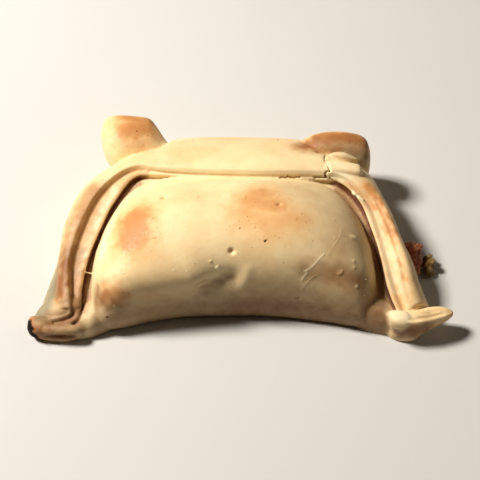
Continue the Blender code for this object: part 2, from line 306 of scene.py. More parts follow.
@dataclass(frozen=True)
class Pocket:
    """The filled middle, in plan a trapezoid with a hollow front edge."""

    shift: float = -2.5
    half_front: float = 66.5
    half_back: float = 42.0
    side_bulge: float = 3.0
    tuck: float = 7.0
    front: float = -33.0
    left_reach: float = 13.5
    right_reach: float = 11.0
    back: float = 54.0
    centre: float = -4.0
    crest: float = 42.0
    rim: float = 7.5
    sink: float = 4.0
    squareness: float = 9.0
    front_fullness: tuple[float, float] = (2.6, 2.2)
    side_fullness: tuple[float, float] = (3.2, 2.1)
    back_fullness: tuple[float, float] = (1.5, 1.1)

    @staticmethod
    def fullness(share: float, exponents: tuple[float, float]) -> float:
        """The height left at this share of the way from the crest to an edge."""
        return max(1 - abs(share) ** exponents[0], 0.0) ** (1 / exponents[1])

    def place(self, x: float, y: float, z: float) -> Row:
        """Where a point of the unit sphere goes.

        Args:
            x: The point's first coordinate.
            y: The point's second coordinate.
            z: The point's third coordinate.

        Returns:
            The place, in mm.
        """
        reach = min(math.hypot(x, y), 1.0) ** 0.8
        bearing = math.atan2(y, x)
        ex, ey = math.cos(bearing), math.sin(bearing)
        square = (abs(ex) ** self.squareness + abs(ey) ** self.squareness) ** (1 / self.squareness)
        s, t = reach * ex / square, reach * ey / square
        corner = self.left_reach if s < 0 else self.right_reach
        edge = self.front - corner * abs(s) ** 3 if t < 0 else self.back
        half = self.half_front + (self.half_back - self.half_front) * ((t + 1) / 2) ** 2.2
        half += self.side_bulge * (1 - t * t) - self.tuck * max(-t - 0.1, 0.0)
        rounding = math.sqrt(1 - reach**14)
        if z > 0:
            lengthwise = self.front_fullness if t < 0 else self.back_fullness
            swell = self.fullness(s, self.side_fullness) * self.fullness(t, lengthwise)
            height = self.rim + (self.crest - self.rim) * rounding * swell
        else:
            height = self.rim - (self.rim + self.sink) * rounding
        return (self.shift + s * half, self.centre + abs(t) * (edge - self.centre), height)

    def build(self) -> Object:
        """The pocket's closed shape."""
        shape = bmesh.new()
        bmesh.ops.create_uvsphere(shape, u_segments=360, v_segments=180, radius=1)
        for vertex in shape.verts:
            vertex.co = self.place(*vertex.co)
        return from_bmesh("pocket", shape)


@dataclass(frozen=True)
class FoldedBorder:
    """The turned-over border, from the left foot round the back to the right foot.

    Each station holds x, y and height of the inner lip, then ledge width, run of the step up
    to the outer layer, ridge width, shoulder height, flank, how far the toe reaches under the
    pocket and the height of the step.
    """

    stations: tuple[Row, ...] = (
        (-88, -42, 6.8, 1.5, 0.9, 3.5, 6.5, 1, 1, 1.2),
        (-80, -42.2, 8.2, 2, 0.9, 4.5, 7.5, 1, 1, 1.6),
        (-73.6, -41.4, 9.5, 2.6, 0.9, 6, 8.5, 2, 1.5, 2),
        (-70.2, -38.8, 10.6, 3.2, 0.9, 6.5, 10, 7, 2.5, 2.4),
        (-69.4, -34, 12.2, 3.6, 0.9, 6.5, 11.6, 9.8, 6, 2.4),
        (-69.4, -26, 14.5, 4.8, 0.9, 6.5, 14, 7.5, 8, 2.4),
        (-67.5, -13.5, 18, 7, 0.9, 7, 16, 3.8, 8, 2.4),
        (-62.5, 3, 22, 8, 0.9, 10.5, 18, 3.4, 8, 2.4),
        (-56, 17, 26, 7, 0.9, 13.5, 19, 2.2, 8, 2.4),
        (-47.5, 26, 30, 3, 1.2, 16, 20, 1, 8, 2.4),
        (-34, 25, 31.5, 0.5, 3, 32.4, 20, 1, 8, 2.4),
        (0, 22.5, 32.5, 0.5, 3.2, 36.2, 20, 1, 8, 2.4),
        (36, 23, 31.5, 0.5, 3, 32.8, 20, 1, 8, 2.4),
        (46.5, 21.5, 30, 1.5, 1.2, 20, 20, 1.5, 8, 2),
        (55, 12, 26.8, 3.5, 3, 10.5, 20, 1.5, 8, 2.2),
        (59.5, -1, 22.6, 4, 4, 9, 17.5, 1.6, 8, 2.6),
        (62.5, -15, 19.4, 4, 5, 11, 14.5, 1.8, 8, 2.8),
        (65, -27, 15.5, 4, 5, 11.8, 11, 2.2, 8, 2.6),
        (68.5, -37, 12.2, 3.5, 4, 12, 8, 2.6, 4, 1.8),
        (70, -40, 11, 4, 1.2, 8, 7, 2.5, 2, 0.9),
    )
    crevice: float = 4.2
    crevice_share: float = 0.26
    sink: float = 4.0

    def run(self) -> np.ndarray:
        """The stations, closely spaced."""
        return spline(self.stations, 20)

    def outwards(self) -> np.ndarray:
        """The level direction away from the pocket at each close station."""
        along = np.gradient(self.run()[:, :2], axis=0)
        along /= np.linalg.norm(along, axis=1)[:, None]
        return np.stack([-along[:, 1], along[:, 0]], axis=1)

    def section(self, lip: float, ledge: float, run: float, ridge: float, shoulder: float, flank: float,
                toe: float, step: float) -> Sequence[Row]:
        """The border's section from its inner foot over the lip to the floor.

        Args:
            lip: Height of the inner lip.
            ledge: Width of the ledge behind the lip.
            run: Width of the step up to the outer layer.
            ridge: Width of the outer layer's top.
            shoulder: Height where the top turns down.
            flank: How far the foot spreads beyond the top.
            toe: How far the foot reaches under the pocket.
            step: Height of the step up to the outer layer.

        Returns:
            Distance outwards and height at each point.
        """
        width = ledge + ridge
        top = lip + step
        start = ledge + run + 0.3
        crevice = min(self.crevice, self.crevice_share * lip)
        side = [
            (-toe, -self.sink),
            (-toe, lip - 1.35 * crevice),
            (-0.3 * toe, lip - crevice),
            (0.3, lip - 0.85 * crevice),
            (0.5, lip - 0.6 * crevice),
            (0.1, lip - 0.3 * crevice),
            (0.3, lip - 0.4),
            (1.3, lip),
            (0.3 + 0.55 * ledge, lip - 0.4),
            (0.3 + 0.85 * ledge, lip - 0.5),
            (0.3 + ledge + 0.3 * run, lip + 0.5 * step),
            (start, top - 0.1),
        ]
        for share in (0.3, 0.55, 0.78, 0.93):
            side.append((start + share * (width - start), top + (shoulder - top) * share**2.2))
        side += [
            (width + 0.5 + 0.1 * flank, 0.8 * shoulder),
            (width + 0.5 + 0.55 * flank, 0.45 * shoulder),
            (width + flank, 0.2 * shoulder),
            (width + flank - 1.0, 0.0),
            (width + flank - 5.0, -self.sink),
        ]
        return side

    def build(self) -> Object:
        """The border's closed shape."""
        rings = []
        for station, (ox, oy) in zip(self.run(), self.outwards()):
            x, y, *sizes = station
            section = spline(self.section(*sizes), 6)
            rings.append([(x + ox * d, y + oy * d, z) for d, z in section])
        return loft("folded_border", rings)


@dataclass(frozen=True)
class Lobe:
    """A rounded lobe of dough through upright slices: x, middle y, half depth, underside and top."""

    name: str
    slices: tuple[Row, ...]
    squareness: float = 2.5

    def build(self) -> Object:
        """The lobe's closed shape."""
        rings = []
        for x, middle, depth, under, top in spline(self.slices, 6):
            ring = []
            for turn in np.linspace(0, 2 * math.pi, 64, endpoint=False):
                across, up = sphere_form(self.squareness, turn)
                ring.append((x, middle + depth * across, (under + top) / 2 + (top - under) / 2 * up))
            rings.append(ring)
        return loft(self.name, rings)


@dataclass(frozen=True)
class Rope:
    """A round roll or thread of dough along a path."""

    name: str
    path: tuple[Row, ...]
    radius: float

    def build(self) -> Object:
        """The roll's closed shape."""
        curve = bpy.data.curves.new(self.name, "CURVE")
        curve.dimensions = "3D"
        curve.bevel_depth = self.radius
        curve.bevel_resolution = 5
        curve.use_fill_caps = True
        line = curve.splines.new("POLY")
        places = spline(self.path, 6)
        line.points.add(len(places) - 1)
        for point, place in zip(line.points, places):
            point.co = (*place, 1)
        guide = new_object(self.name, curve)
        roll = new_object(self.name, baked(guide))
        bpy.data.objects.remove(guide)
        return roll


@dataclass(frozen=True)
class Stroke:
    """A mark worked into the surface along a path."""

    kind: Relief
    path: tuple[Row, ...]
    width: float
    depth: float

    def rise(self, points: np.ndarray) -> np.ndarray:
        """How far each point moves out along its normal, in mm."""
        line = spline(self.path, 4) if len(self.path) > 2 else self.path
        if self.kind is Relief.CRACK:
            sway = ((ripple(points, 3.0, seed), ripple(points, 1.3, seed + 3)) for seed in (51, 52, 53))
            points = points + np.stack([0.25 * broad + 0.06 * fine for broad, fine in sway], axis=1)
        away = path_distance(points, line, 4 * self.width + 1) / self.width
        if self.kind is Relief.RIDGE:
            return self.depth * np.exp(-(away**2))
        if self.kind is Relief.CRACK:
            return self.depth * (0.12 * np.exp(-((away - 1.7) ** 2) / 0.4) - np.exp(-(away**2)))
        if self.kind is Relief.PRICK:
            return -self.depth * np.exp(-(away**3))
        return -self.depth * np.exp(-(away**2))


@dataclass(frozen=True)
class Patch:
    """A soft-edged patch of a tone, as a spot or along a path."""

    path: tuple[Row, ...]
    radius: float
    strength: float

    def amount(self, points: np.ndarray) -> np.ndarray:
        """How strongly each point shows the tone, from 0 to the patch's strength."""
        away = path_distance(points, self.path, 2.6 * self.radius)
        return self.strength * np.exp(-((away / self.radius) ** 2.4))


POCKET = Pocket()
BORDER = FoldedBorder()
LOBES = (
    Lobe("left_ear", (
        (-67, 60, 3, 15, 23), (-65.8, 59.5, 7.5, 11, 28), (-63, 57, 11, 8, 31),
        (-57, 55, 13.5, 7, 32.5), (-50, 54.5, 14, 7, 32), (-44, 54.5, 13.8, 7, 30.5),
        (-40.5, 52, 12.5, 7.5, 28.5), (-37, 48.5, 10, 8, 26), (-33, 45, 8, 9, 23.5),
    )),
    Lobe("right_ear", (
        (26, 44, 6, 12, 24), (31, 46, 8, 9, 29), (38, 46.5, 8.5, 7, 32.5), (47, 46.5, 8.5, 7, 33.5),
        (55, 46, 8.5, 7, 32.5), (59.5, 45.5, 7.5, 8, 30), (61.5, 45, 5, 10, 25),
    )),
    Lobe("right_slab", (
        (39, 29, 3.4, 20, 33.2), (40, 29, 3.9, 20, 33.9), (47, 28.7, 3.9, 20, 33.9),
        (54, 28.2, 3.9, 18, 33), (55.8, 28.2, 3, 18, 31.6),
    ), 4),
    Lobe("right_lens", (
        (40.5, 37, 1, 20, 32), (44, 36.6, 2.2, 20, 33.4), (49, 36, 2.4, 20, 33.6),
        (54.5, 34.8, 1, 18, 31.6),
    ), 3),
    Lobe("left_heel", (
        (-91, -34.5, 2.5, -2, 3.5), (-88, -33.5, 5, -2, 7), (-82, -32.5, 7, -2, 10.5),
        (-76, -32, 7, -2, 13), (-70, -32, 5, -2, 13),
    )),
    Lobe("left_web", (
        (-80, -38.5, 4, -8, 4.5), (-75, -37.5, 7, -8, 7.5), (-69, -35.5, 8.6, -8, 10),
        (-62, -33.6, 8.4, -8, 12), (-55, -31.6, 6.6, -8, 13), (-49, -30.2, 5.2, -8, 12.5),
        (-44, -29, 3, -8, 10),
    )),
    Lobe("left_tip", (
        (-93, -39.5, 2.5, 3.5, 7), (-91.5, -40, 4, 1, 9), (-88, -40.5, 4.6, 0, 9.5),
        (-82, -40.5, 4, 0, 8.5),
    )),
    Lobe("right_foot", (
        (64.5, -39, 1.5, 9, 12), (66, -39.6, 3.4, 4, 13.5), (70, -40.6, 4.4, -1, 14),
        (75, -40.6, 4.4, -2, 14), (80, -39.2, 4.6, 1.5, 13.6), (85, -38, 4.2, 5, 13.2),
        (89.5, -37.4, 3.2, 7.5, 12.6), (93, -37, 1.2, 9.3, 11.3),
    )),
    Lobe("right_web", (
        (40, -29, 3, -8, 9), (45, -30.2, 4.8, -8, 12), (51, -31.6, 6, -8, 13.5),
        (57, -33, 7, -8, 13.5), (64, -34.6, 7.2, -8, 12), (70, -36.5, 6.4, -8, 9.5),
        (75, -38, 4.4, -8, 6),
    )),
    Lobe("right_knob", (
        (63.9, -40.2, 1.2, 11, 13.2), (65, -40.6, 3.4, 8.6, 15), (68, -41.2, 4, 8, 15.6),
        (71.5, -41.5, 3.8, 8.6, 15.2), (74, -41.6, 2.2, 10.4, 14),
    )),
    Lobe("right_heel", (
        (64, -38.5, 2.5, -2, 5), (67, -40, 4, -2, 7), (71, -40.5, 4.8, -2, 8),
        (76, -40.3, 4.8, -2, 7.5), (80, -39, 3, -2, 4),
    )),
)
LEFT_CURL = Rope("left_curl", (
    (-90, -41.5, 5.6), (-84, -43, 6.8), (-77, -43.7, 7.4), (-72.6, -43.6, 7.2), (-70.6, -43.6, 5.2),
    (-72.6, -43.9, 3.3), (-77.5, -44.2, 2.6), (-84, -43.6, 2.8), (-90, -41.7, 3.4),
), 2.1)
RIGHT_LIP = Rope("right_lip", (
    (70, -43.6, 14), (75, -44, 13.6), (80, -42.9, 13.2), (85, -41.5, 12.9), (89, -39.8, 12.3),
    (92.5, -37.4, 10.8),
), 0.8)
STRAND = Rope("crevice_strand", (
    (-70.2, -18.2, 17), (-68.2, -18.5, 15.4), (-65.4, -18.9, 15), (-63, -19.2, 15.8),
), 0.45)

STROKES = (
    # The fuller lower left of the front, and the shallow hollow at its upper right.
    Stroke(Relief.RIDGE, ((-50, -29.5, 24.5), (-36, -29.5, 25), (-22, -29, 26)), 8.5, 2.6),
    Stroke(Relief.GROOVE, ((28, -25, 33), (44, -22, 33)), 8, 0.5),
    # Fork pricks in the pocket.
    Stroke(Relief.PRICK, ((-33.6, 6.1, 37.3),), 1.3, 1.8),
    Stroke(Relief.PRICK, ((17, -0.9, 40.1),), 1.3, 1.8),
    Stroke(Relief.PRICK, ((-3.5, -22.2, 35.7),), 1.4, 1.7),
    Stroke(Relief.PRICK, ((-39.1, -32.8, 16),), 1.2, 1.5),
    Stroke(Relief.PRICK, ((25.3, -31.4, 15.6),), 1.2, 1.5),
    # Fine raised scratches on the right of the pocket.
    Stroke(Relief.RIDGE, (
        (44.2, -9.9, 35.4), (42.9, -14.4, 35.6), (40.9, -18.1, 35.4), (37.6, -22.8, 34.1),
    ), 0.36, 0.1),
    Stroke(Relief.RIDGE, (
        (36.1, -22.8, 34.5), (33.7, -24.9, 33.3), (31.6, -26.6, 31.7), (29.5, -27.8, 30.2),
        (27.8, -28.3, 29.4),
    ), 0.36, 0.17),
    Stroke(Relief.RIDGE, ((28.6, -28.7, 28.8), (26.6, -30.1, 25.6)), 0.36, 0.16),
    Stroke(Relief.RIDGE, (
        (33.8, -29.1, 28.3), (30.8, -29.8, 26.7), (28.6, -30.9, 23.8), (26.6, -31.7, 20.8),
    ), 0.36, 0.12),
    # The dent in the middle of the front, between a soft ridge and a small flake.
    Stroke(Relief.RIDGE, ((3.4, -27.8, 29.6), (2.4, -29.4, 25.6), (0.4, -30.8, 20.6)), 2.6, 0.45),
    Stroke(Relief.GROOVE, (
        (-15.5, -30.7, 21.3), (-11.2, -30.1, 23.4), (-6.9, -29.4, 25.5), (-3.6, -28.9, 26.4),
    ), 4.4, 1.5),
    Stroke(Relief.RIDGE, ((-19, -30.7, 22), (-17.5, -30.2, 23.7), (-14.1, -29.7, 24.7)), 0.5, 0.5),
    # Bits of dough stuck to the pocket.
    Stroke(Relief.RIDGE, ((50.1, -11.8, 31.5), (48.6, -12.1, 32.6)), 0.9, 0.45),
    Stroke(Relief.RIDGE, ((41, -15.4, 36.1),), 0.6, 0.25),
    Stroke(Relief.RIDGE, ((49.1, -22.8, 29.5),), 0.7, 0.3),
    Stroke(Relief.RIDGE, ((49.2, -25.3, 28.1),), 0.6, 0.3),
    Stroke(Relief.RIDGE, ((43.8, -27.6, 28.8), (43.2, -28.6, 28.2), (42.2, -28.8, 28.2)), 0.6, 0.35),
    Stroke(Relief.RIDGE, ((50.2, -31.4, 22.7),), 0.6, 0.4),
    Stroke(Relief.RIDGE, ((-12.5, -25.6, 33.3),), 0.5, 0.4),
    Stroke(Relief.RIDGE, ((-9.9, -27.4, 30.6), (-9.4, -27, 31.2)), 0.5, 0.45),
    # Torn bits at the start of the right strap.
    Stroke(Relief.RIDGE, ((51.5, 17.5, 27.4), (52.4, 16.4, 27.6)), 0.6, 0.7),
    Stroke(Relief.RIDGE, ((54, 14.8, 27.4), (55.8, 13.6, 27.1)), 0.6, 0.6),
    # Where the folded border meets the pocket, cracked towards the right.
    Stroke(Relief.GROOVE, (
        (-41.3, 27.5, 31.2), (-27.4, 25.1, 31.8), (-9.1, 23.5, 32.3), (9.1, 22.8, 32.3),
        (27.3, 23.4, 31.6), (36.5, 23.4, 31),
    ), 0.7, 0.5),
    Stroke(Relief.CRACK, ((18.2, 23, 32.3), (22, 23.2, 32), (27.3, 23.4, 31.6)), 0.5, 1),
    Stroke(Relief.CRACK, ((34.2, 23.4, 31.2), (39.2, 23.5, 31)), 0.6, 1.4),
    # The crossed folds of the right corner.
    Stroke(Relief.GROOVE, ((39.9, 37, 32.4), (39.1, 32.5, 33.3), (40.2, 28.4, 34.3)), 0.45, 0.8),
    Stroke(Relief.CRACK, (
        (40.2, 28.4, 34.3), (41, 26.2, 33.4), (38.8, 24.3, 32), (41.6, 23, 30.1), (44, 22.4, 28),
    ), 0.5, 1.5),
    Stroke(Relief.GROOVE, (
        (40.4, 32.8, 33.3), (46.1, 32.9, 33), (50.8, 32.4, 32.5), (55, 31.5, 31),
    ), 0.8, 1.3),
    Stroke(Relief.GROOVE, (
        (36.4, 38.8, 32), (44.3, 39.4, 32.2), (50.4, 39.2, 31.5), (55.1, 38, 29.5),
    ), 0.9, 0.9),
    # The crease along the right strap.
    Stroke(Relief.GROOVE, (
        (61.4, 12.4, 28.5), (64.2, 5.2, 26.5), (67, -1.8, 24.5), (69, -10.6, 22.8), (70.9, -16.9, 20.8),
        (72.1, -26.5, 17.7), (73.6, -32, 15.7),
    ), 0.9, 0.5),
    # The right foot's crack and the ridge in front of it.
    Stroke(Relief.CRACK, ((76, -37.2, 14), (80, -36.8, 13.8)), 0.6, 0.9),
    Stroke(Relief.RIDGE, ((76, -41, 14.2), (82, -40, 13.6), (87, -38.4, 13.2)), 0.5, 0.5),
    # The tuck where the left ear leaves the border.
    Stroke(Relief.GROOVE, ((-29, 54, 25.5), (-33.5, 55, 26), (-36.5, 50, 27.5)), 1.2, 0.8),
)

PATCHES = {
    Tone.BROWNED: (
        # The two baked spots on the pocket's top.
        Patch(((-46, -6, 37), (-46, -14, 35.8)), 13, 0.84),
        Patch(((9, 7, 39.2), (4.4, 1.9, 40.9), (15.2, -1.4, 41.5)), 10.5, 0.66),
        Patch(((2, -6, 41.9), (12, -12, 41.4), (23, -8.8, 41)), 11.5, 0.58),
        # The front's lower corners.
        Patch(((-57, -34, 20), (-52.5, -34.4, 21)), 7, 0.72),
        Patch(((-60, -34, 18), (-50, -35, 18), (-40, -33.1, 20.3)), 5, 0.28),
        Patch(((39.8, -30, 27), (45, -30.8, 25.2), (50, -31, 23)), 6, 0.4),
        # The left strap, the curl under it and the edge of the charred tip.
        Patch(((-66, 20, 27), (-75, 0, 20.5), (-78.5, -14, 17.5), (-78, -30, 14.5)), 4.6, 0.55),
        Patch(((-74, -20, 16), (-76, -34, 12.5), (-82, -38, 10)), 4.5, 0.4),
        Patch(((-77.5, -16, 19), (-78.5, -30, 14)), 4.6, 0.75),
        Patch(((-74, -46, 8), (-83, -44.5, 8.5)), 3.4, 0.35),
        Patch(((-86, -43, 9), (-80, -45, 5), (-72, -46.5, 3)), 2.6, 0.5),
        Patch(((-90, -43, 8), (-87.5, -44.6, 5.5)), 5.5, 0.7),
        # The left ear.
        Patch(((-54, 62, 31), (-44, 61, 30)), 7.5, 0.8),
        Patch(((-57, 52, 32), (-54, 58, 32)), 4.5, 0.55),
        Patch(((-51, 45, 30.5), (-44.5, 46, 29.5)), 5.5, 0.55),
        Patch(((-53, 52, 31.8), (-46, 55, 30.5)), 9.5, 0.8),
        Patch(((-61, 55, 31.4),), 8, 0.42),
        # The right ear and the border beside the left one.
        Patch(((31, 44, 31), (38, 47, 33), (50, 48, 34), (59, 46, 30.5)), 6.5, 0.8),
        Patch(((34, 40, 31), (45, 40.5, 31.5)), 3.5, 0.6),
        Patch(((-27, 35.5, 33.5), (-13, 38, 33.5)), 8, 0.3),
        # The right strap and foot.
        Patch(((59, 19, 29), (64.9, 6.2, 25.3), (67.9, -3.2, 22.8)), 4, 0.75),
        Patch(((68.5, -5, 22.6), (71.6, -16, 19.7), (72.6, -24, 17.6)), 2.2, 0.6),
        Patch(((71, 0, 20), (74.5, -14, 17.5), (76, -30, 13.5)), 4.5, 0.42),
        Patch(((82.4, -39, 12.6), (91, -38, 11.4)), 3.6, 0.3),
        Patch(((74, -46, 7), (84, -42, 8.5), (93, -38.5, 9.5)), 3.4, 0.55),
        # The backs of the ears and of the fold.
        Patch(((-50, 66, 20), (-44, 66, 24)), 6, 0.4),
        Patch(((-20, 57, 12), (14, 58, 14)), 7, 0.3),
        Patch(((44, 56, 20), (54, 54, 22)), 6, 0.35),
    ),
    Tone.PAINTED_SHADE: (
        # Painted shade on the front, in the dent and over the pocket's right side.
        Patch(((30, -28.5, 29), (42, -28.5, 28.5), (52, -30, 24)), 6.5, 0.75),
        Patch(((-58, -36, 17), (-48, -35, 18)), 5, 0.6),
        Patch(((-62, -33, 17), (-52, -36, 15)), 6, 0.95),
        Patch(((-14.5, -31, 21), (-4.5, -29.2, 26)), 3.6, 0.75),
        Patch(((30, 12, 38), (38, 0, 38), (42, -12, 36)), 17, 0.36),
        # Painted shade on the left strap and the curl.
        Patch(((-68, 19, 26.5), (-73, 6, 22), (-76, -5, 18.7)), 7.5, 0.55),
        Patch(((-76, -10, 18.5), (-79, -26, 14.5)), 8, 0.85),
        Patch(((-72, -33, 13), (-76, -41, 9), (-86, -42, 6)), 7.5, 0.92),
        Patch(((-84, -44.5, 5), (-72, -45, 5)), 4.4, 1),
        # Painted shade on the right ear's front, the right strap and the foot's front.
        Patch(((31, 44, 30), (46, 43, 32.5), (59, 42, 29)), 7.5, 0.7),
        Patch(((56, 15, 27), (58, 11, 27)), 4, 0.35),
        Patch(((69, -45, 6), (80, -43, 9)), 4.5, 1),
    ),
    Tone.PALE: (
        # The scratches and the stuck and torn bits.
        Patch((
            (36.1, -22.8, 34.5), (33.7, -24.9, 33.3), (31.6, -26.6, 31.7), (29.5, -27.8, 30.2),
            (27.8, -28.3, 29.4),
        ), 0.5, 0.55),
        Patch(((28.6, -28.7, 28.8), (26.6, -30.1, 25.6)), 0.5, 0.5),
        Patch(((50.1, -11.8, 31.5), (49.2, -12, 32.3)), 0.9, 0.8),
        Patch(((50.2, -31.4, 22.7),), 0.7, 0.8),
        Patch(((-12.5, -25.6, 33.3),), 0.6, 0.8),
        Patch(((-9.9, -27.4, 30.6), (-9.4, -27, 31.2)), 0.6, 0.8),
        Patch(((-44.4, -33.6, 21.4),), 0.5, 0.9),
        Patch(((-44.9, -34.7, 18.8),), 0.5, 0.9),
        Patch(((-54.3, -37, 16.8),), 0.6, 0.9),
        Patch(((51, 17.5, 27.4), (55.8, 13.6, 27.1)), 1.3, 0.7),
        # Painted highlights on the pocket's left shoulder, the right corner's slab and the foot's knob.
        Patch(((-58, 10, 27.5), (-60, 1, 26.5), (-60.6, -14, 25.2)), 4.5, 0.6),
        Patch(((43, 29.5, 34), (54, 28.5, 33)), 4, 0.25),
        Patch(((45, 24, 31.5), (50, 23, 31)), 3, 0.7),
        Patch(((66, -40.6, 15), (71, -41, 15.5)), 4, 0.6),
        # Painted highlights along the edges of both straps.
        Patch(((57.8, 8.8, 25.7), (61.9, -0.3, 22.7), (65, -14.8, 19.5), (67.9, -27.9, 15.1)), 2.4, 0.42),
        Patch(((-56.7, 19, 26.3), (-61.6, 8, 23.1), (-65, -2, 19), (-67, -14, 16.5)), 2.6, 0.5),
    ),
    Tone.CHAR_AND_SHADE: (
        # The charred left tip, with painted shade in the foot's crack and under the curl.
        Patch(((-93, -40.5, 6), (-92, -43.5, 6), (-90.5, -45, 4)), 4, 1),
        Patch(((77.5, -36.6, 14), (79.5, -36.4, 14)), 0.7, 0.8),
        Patch(((-84, -46.4, 0.6), (-74, -47, 0.5)), 0.9, 0.6),
        # Painted shade in the pricks.
        Patch(((-33.3, 6, 36),), 1.3, 0.35),
        Patch(((17.2, -0.9, 38.8),), 1.3, 0.45),
        Patch(((-39, -31.9, 16.3),), 1.3, 0.6),
        Patch(((25.3, -30.5, 15.9),), 1.2, 0.6),
        # Single specks.
        Patch(((10.6, -19, 38.9),), 0.75, 1),
        Patch(((-57.7, -39.6, 11.4),), 0.75, 0.9),
        Patch(((-29.1, -31, 23),), 0.6, 0.8),
        Patch(((-52.5, -22.2, 31.1),), 0.6, 0.8),
        Patch(((-50.8, -28.4, 28.2),), 0.6, 0.7),
        Patch(((0, -13.8, 41),), 0.6, 0.8),
        Patch(((-18.4, 4.4, 40),), 0.6, 0.7),
        Patch(((41.3, -6, 36.8),), 0.6, 0.7),
        Patch(((-22.8, 51, 27),), 0.75, 0.8),
        Patch(((18.1, 51.5, 26.4),), 0.75, 0.8),
        Patch(((-49, 52, 31.8),), 0.65, 0.9),
    ),
    Tone.PAINTED_HEEL_SHADE: (
        # Painted shade on the outer side of the left heel.
        Patch(((-84, -20, 8), (-89, -33, 6)), 10, 1),
    ),
}


@dataclass
class Pastry:
    """The whole crust: fused from its forms, then worked with strokes and toned with patches."""

    name: str = "pastry_crust"
    voxel: float = 0.45
    softening: int = 10
    triangles: int = 188_000
    lumpiness: float = 0.18
    lump_length: float = 26.0
    ripple_share: float = 0.16
    ripple_length: float = 10.0
    graininess: float = 0.012
    grain_length: float = 2.6
    patch_drift: float = 0.9
    drift_length: float = 6.0
    sharp_below: float = 1.5
    obj: Object = field(init=False)

    def shape(self) -> None:
        """Fuses the forms into one skin."""
        forms = [POCKET.build(), BORDER.build()]
        forms += [rope.build() for rope in (LEFT_CURL, RIGHT_LIP, STRAND)]
        forms += [lobe.build() for lobe in LOBES]
        self.obj = fuse(self.name, forms, self.voxel, self.softening)

    def work(self) -> None:
        """Presses the strokes and the dough's unevenness into the skin."""
        mesh = self.obj.data
        points, normals = mesh_points(mesh), mesh_normals(mesh)
        ripples = self.ripple_share * ripple(points, self.ripple_length, 5, 24)
        rise = self.lumpiness * (ripple(points, self.lump_length, 3) + ripples)
        rise += self.graininess * ripple(points, self.grain_length, 7, 24)
        for stroke in STROKES:
            rise += stroke.rise(points)
        set_points(mesh, points + normals * rise[:, None])

    def border_tones(self, points: np.ndarray) -> dict[Tone, np.ndarray]:
        """The tones that follow the border: the crevice, partly juice stain and partly painted shade, and the
        cut face of the ledge.

        Args:
            points: The crust's points, in mm.

        Returns:
            The amount of each tone at each point.
        """
        run, outwards = BORDER.run(), BORDER.outwards()
        stained, cut = np.zeros(len(points)), np.zeros(len(points))
        near = np.where((points[:, 2] > 2) & (points[:, 1] < 40))[0]
        for chunk in np.array_split(near, 40):
            gap = points[chunk, None, :2] - run[None, :, :2]
            best = (gap**2).sum(2).argmin(1)
            gap = gap[np.arange(len(chunk)), best]
            away = (gap * outwards[best]).sum(1)
            below = run[best, 2] - points[chunk, 2]
            ledge = run[best, 3]
            deep = np.clip((below + 0.5) / 4.0, 0, 1)
            inside = 0.42 * np.exp(-(((away + 2.6) / 2.6) ** 2)) * deep
            wall = np.exp(-(((away - 0.1) / 1.1) ** 2)) * np.clip((below - 0.5) / 1.4, 0, 1)
            beside = np.clip((np.abs(run[best, 0]) - 40.0) / 6.0, 0.15, 1)
            along = (best > 3) & (best < len(run) - 4)
            stained[chunk] = np.maximum(inside, wall) * (beside * along)
            level = np.exp(-(((below + 0.3) / 2.2) ** 2))
            band = np.clip(away / 0.6, 0, 1) * np.clip((ledge + 0.7 - away) / 0.6, 0, 1)
            cut[chunk] = np.where(ledge > 1.4, band * level, 0)
        return {Tone.CREVICE_STAIN_SHADE: stained, Tone.CUT: cut}

    def front_painted_shade(self, points: np.ndarray, height: np.ndarray) -> np.ndarray:
        """Painted shade on the low front between the feet, stronger towards the right.

        Args:
            points: The crust's points, in mm.
            height: Their unevenly shifted heights, in mm.

        Returns:
            The amount at each point.
        """
        low = np.clip((31.0 - height) / 20.0, 0, 1) * np.clip((-22.0 - points[:, 1]) / 8.0, 0, 1)
        strength = 0.76 + 0.22 * np.clip((points[:, 0] + 30.0) / 30.0, 0, 1)
        return strength * low * np.clip((67.0 - np.abs(points[:, 0])) / 4.0, 0, 1)

    def foot_browning(self, points: np.ndarray, height: np.ndarray) -> np.ndarray:
        """The browning of the underside and of the lowest rim at the sides and back.

        Args:
            points: The crust's points, in mm.
            height: Their unevenly shifted heights, in mm.

        Returns:
            The amount at each point.
        """
        rim = 0.45 * np.clip((3.5 - height) / 3.0, 0, 1) * np.clip((points[:, 1] + 10.0) / 10.0, 0, 1)
        return np.where(points[:, 2] < 0.02, 0.6, rim)

    def tone(self) -> None:
        """Writes how strongly each vertex shows each tone."""
        points = mesh_points(self.obj.data)
        drift = np.stack([ripple(points, self.drift_length, seed) for seed in (11, 12, 13)], axis=1)
        warped = points + self.patch_drift * drift
        amounts = {tone: np.zeros(len(points)) for tone in Tone}
        amounts.update(self.border_tones(points))
        amounts[Tone.PAINTED_SHADE] = self.front_painted_shade(points, warped[:, 2])
        for tone, patches in PATCHES.items():
            for patch in patches:
                amount = patch.amount(points if patch.radius < self.sharp_below else warped)
                amounts[tone] = np.maximum(amounts[tone], amount)
        amounts[Tone.BROWNED] = np.maximum(amounts[Tone.BROWNED], self.foot_browning(points, warped[:, 2]))
        for tone, amount in amounts.items():
            layer = self.obj.data.attributes.new(tone.value, "FLOAT", "POINT")
            layer.data.foreach_set("value", np.clip(amount, 0, 1).astype(np.float32))

    def build(self, finish: "CrustFinish") -> Object:
        """Builds and dresses the crust.

        Args:
            finish: The crust's finish.

        Returns:
            The crust, standing for the pastry's solid.
        """
        self.shape()
        self.work()
        thin_out(self.obj, self.triangles)
        cut_at_floor(self.obj)
        self.tone()
        to_row_frame(self.obj)
        self.obj.data.shade_smooth()
        self.obj.data.materials.append(finish.material())
        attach(self.obj, "root")
        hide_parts("pastry")
        return self.obj


